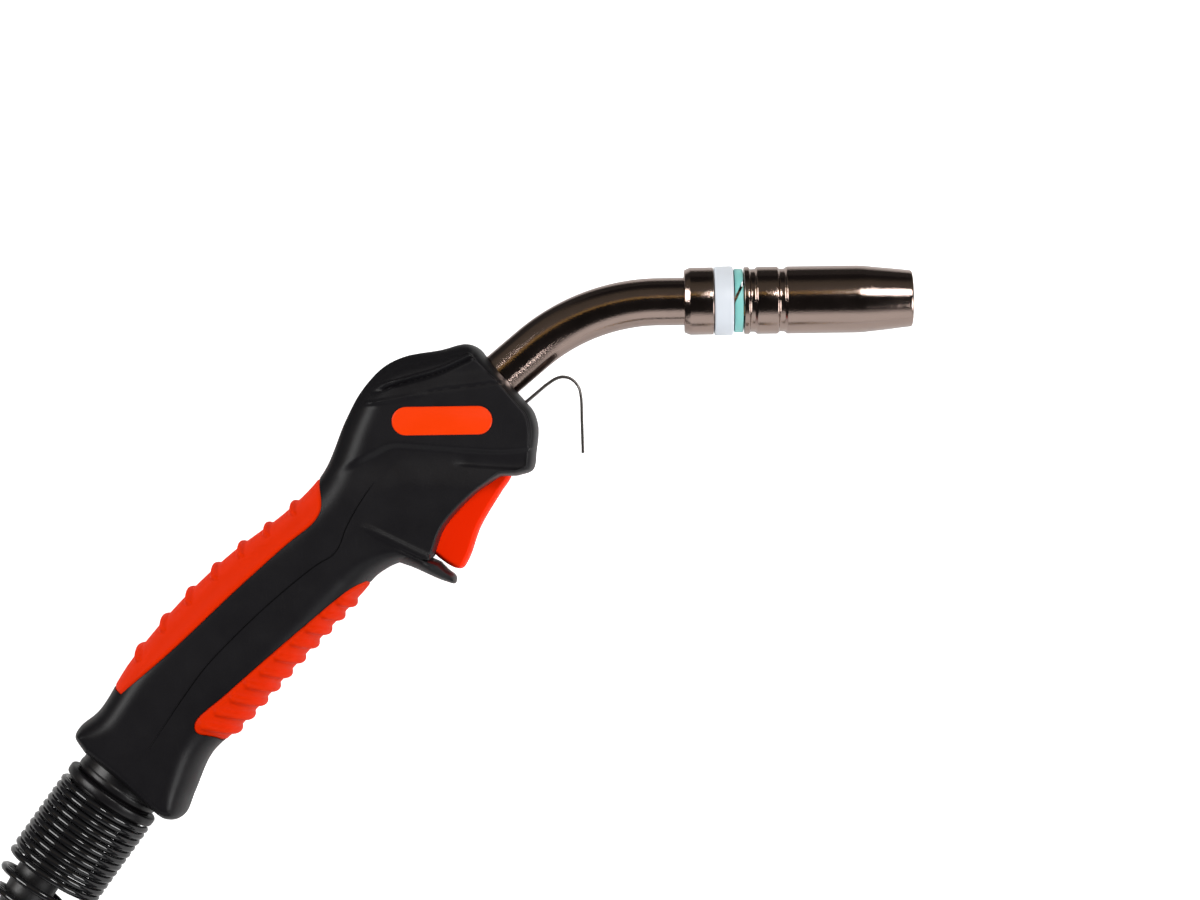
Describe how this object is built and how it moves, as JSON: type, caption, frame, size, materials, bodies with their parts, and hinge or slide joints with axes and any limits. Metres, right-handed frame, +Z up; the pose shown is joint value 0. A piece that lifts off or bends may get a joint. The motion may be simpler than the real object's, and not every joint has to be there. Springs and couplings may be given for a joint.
{
  "type": "mig welding torch",
  "caption": "Swan-neck gas-cooled MIG welding torch with trigger handle, soft grips, cable support spring and coiled cable with central plug",
  "frame": {"origin": "on the surface the torch lies on, under the middle of the torch without its cable", "axes": "+X forwards along the gas nozzle, +Y towards the crest of the handle's head, +Z up from the surface, out of the handle's flat side"},
  "size_m": [0.3827, 0.4686, 0.0468],
  "materials": {
    "black_nylon": "fine textured black nylon",
    "orange_grip": "satin orange overmoulded soft grip",
    "orange_plastic": "semi-gloss orange-red plastic",
    "smoky_nickel": "smoky nickel plating with a fine grain",
    "brass": "turned brass",
    "copper": "drawn copper alloy",
    "steel": "bright zinc-plated steel",
    "spring_steel": "blackened spring steel",
    "white_ceramic": "white insulating compound",
    "mint_plastic": "mint green insulating plastic",
    "black_rubber": "matte black rubber jacket",
    "liner_plastic": "natural plastic liner",
    "red_wire": "red wire insulation"
  },
  "bodies": {
    "handle": {"badge_bottom": "orange_plastic", "badge_top": "orange_plastic", "cable": "black_rubber", "cable_coil": "black_rubber", "cable_end": "black_rubber", "cable_nut": "brass", "cable_tie_1": "black_nylon", "cable_tie_2": "black_nylon", "contact_tip": "copper", "control_wire_1": "red_wire", "control_wire_2": "black_rubber", "gas_diffuser": "white_ceramic", "handle_screw_1": "steel", "handle_screw_2": "steel", "handle_screw_3": "steel", "handle_screw_4": "steel", "handle_shell_bottom": "black_nylon", "handle_shell_top": "black_nylon", "hook": "spring_steel", "insulator_ring": "white_ceramic", "lower_grip_bottom": "orange_grip", "lower_grip_top": "orange_grip", "microswitch_body": "black_nylon", "neck_collar": "smoky_nickel", "neck_connector": "brass", "neck_inner_tube": "copper", "nozzle_spring": "steel", "plug_body": "black_nylon", "plug_gas_pin": "brass", "plug_nose": "brass", "plug_o_ring": "black_rubber", "plug_strain_relief": "black_rubber", "split_ring": "mint_plastic", "swan_neck": "smoky_nickel", "switch_terminal_1": "brass", "switch_terminal_2": "brass", "tip_holder": "brass", "trigger_pin": "steel", "trigger_spring": "steel", "upper_grip_bottom": "orange_grip", "upper_grip_top": "orange_grip", "wire_liner": "liner_plastic"},
    "trigger": {"trigger": "orange_plastic"},
    "switch_plunger": {"switch_plunger": "orange_plastic"},
    "nozzle": {"gas_nozzle": "smoky_nickel"},
    "cable_support": {"support_sleeve": "black_nylon", "spring_collar": "black_nylon", "bend_spring": "spring_steel"},
    "plug_nut": {"plug_nut": "black_nylon"},
    "control_pin_1": {"control_pin_1": "brass"},
    "control_pin_2": {"control_pin_2": "brass"}
  },
  "joints": [
    {"name": "trigger_pull", "type": "hinge", "parent": "handle", "child": "trigger", "pos_m": [0.0184, 0.05035, 0.02], "axis": [0, 0, -1], "range_deg": [0, 6], "stiffness_Nm_per_rad": 0.8, "springref_deg": -6.88},
    {"name": "switch_press", "type": "slide", "parent": "handle", "child": "switch_plunger", "axis": [-0.6388, 0.7694, 0], "range_m": [0, 0.0016]},
    {"name": "nozzle_pull", "type": "slide", "parent": "handle", "child": "nozzle", "axis": [1, 0, 0], "range_m": [0, 0.06]},
    {"name": "support_swivel", "type": "hinge", "parent": "handle", "child": "cable_support", "pos_m": [-0.1122, -0.056, 0.02], "axis": [-0.5948, -0.8039, 0], "continuous": true},
    {"name": "plug_nut_turn", "type": "hinge", "parent": "handle", "child": "plug_nut", "pos_m": [0.10989, -0.17759, 0.0236], "axis": [0.7071, 0.7071, 0], "continuous": true},
    {"name": "control_pin_press_1", "type": "slide", "parent": "handle", "child": "control_pin_1", "axis": [-0.7071, -0.7071, 0], "range_m": [0, 0.0025], "stiffness_N_per_m": 400, "springref_m": -0.003},
    {"name": "control_pin_press_2", "type": "slide", "parent": "handle", "child": "control_pin_2", "axis": [-0.7071, -0.7071, 0], "range_m": [0, 0.0025], "stiffness_N_per_m": 400, "springref_m": -0.003}
  ],
  "couplings": [
    {"joint": "switch_press", "follows": "trigger_pull", "m_per_rad": 0.01364}
  ]
}
